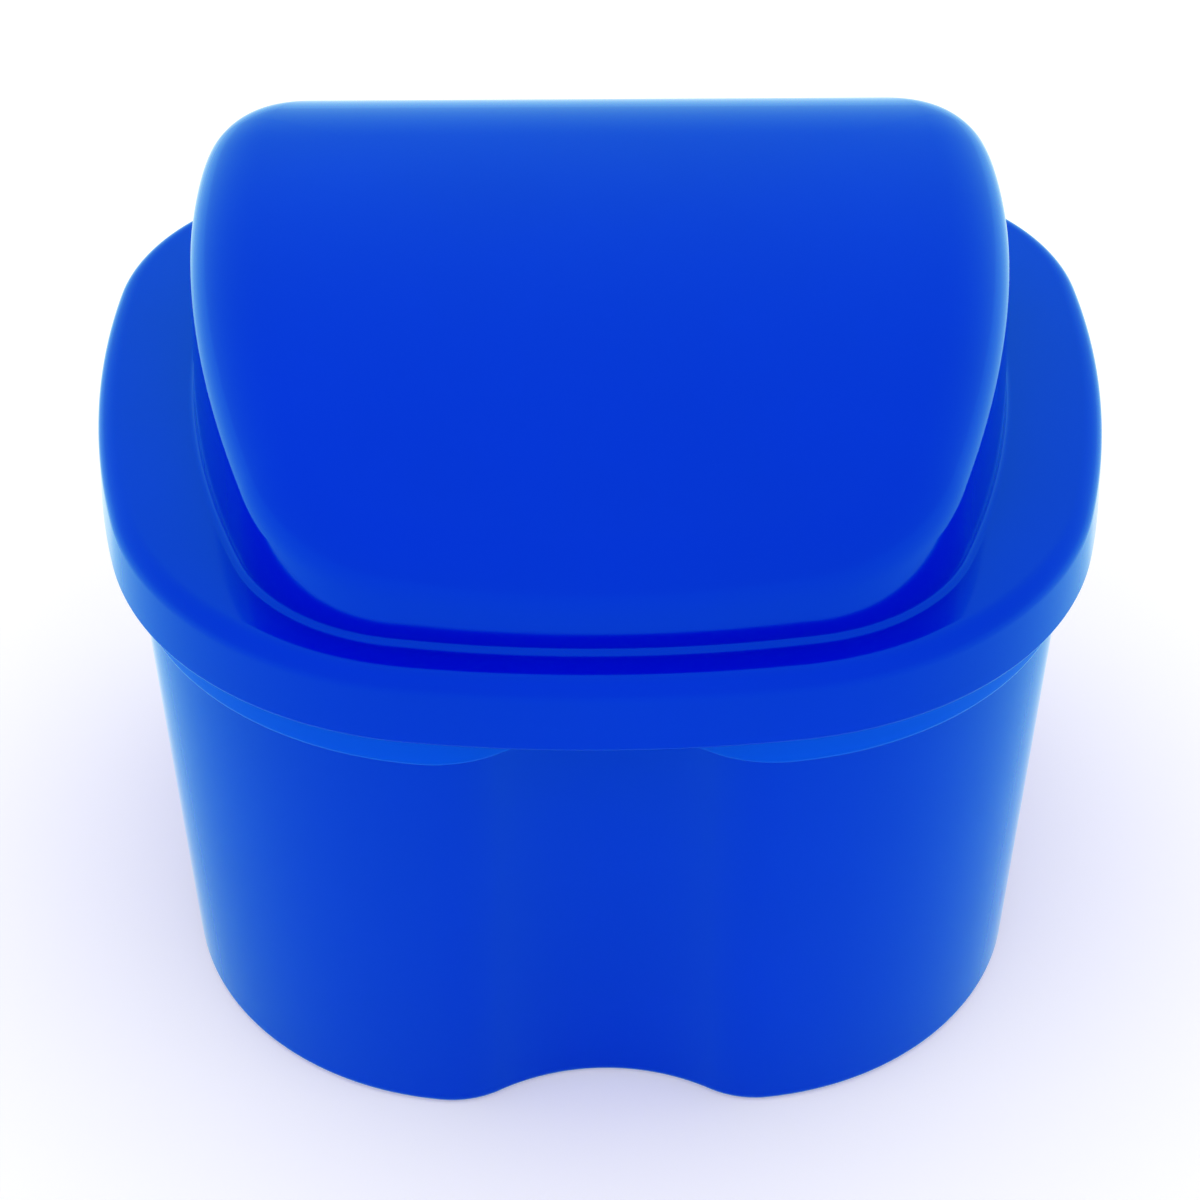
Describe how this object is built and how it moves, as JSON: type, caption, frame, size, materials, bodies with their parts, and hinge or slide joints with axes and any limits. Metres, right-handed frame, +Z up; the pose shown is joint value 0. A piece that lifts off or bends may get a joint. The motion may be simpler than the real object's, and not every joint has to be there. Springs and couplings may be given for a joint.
{
  "type": "denture case",
  "caption": "Denture bath: deep cup with a thumb notch, lift-out strainer basket with an arched handle, and a lift-off lid with a high domed top.",
  "frame": {"origin": "on the ground, under the middle of the lid's outline", "axes": "+X across the case to its right, -Y towards the front with the thumb notch, +Z up"},
  "size_m": [0.0914, 0.081, 0.0728],
  "materials": {
    "cup_plastic": "polished moulded polypropylene, saturated blue",
    "basket_plastic": "moulded polypropylene, saturated blue, satin inside",
    "handle_plastic": "moulded polypropylene, saturated blue",
    "lid_plastic": "polished moulded polypropylene, saturated blue"
  },
  "bodies": {
    "cup": {"cup": "cup_plastic"},
    "basket": {"strainer_basket": "basket_plastic", "basket_handle": "handle_plastic"},
    "lid": {"lid": "lid_plastic"}
  },
  "joints": [
    {"name": "basket_lift", "type": "slide", "parent": "cup", "child": "basket", "axis": [0, 0, 1], "range_m": [0, 0.06]},
    {"name": "lid_lift", "type": "slide", "parent": "basket", "child": "lid", "axis": [0, 0, 1], "range_m": [0, 0.05]}
  ]
}
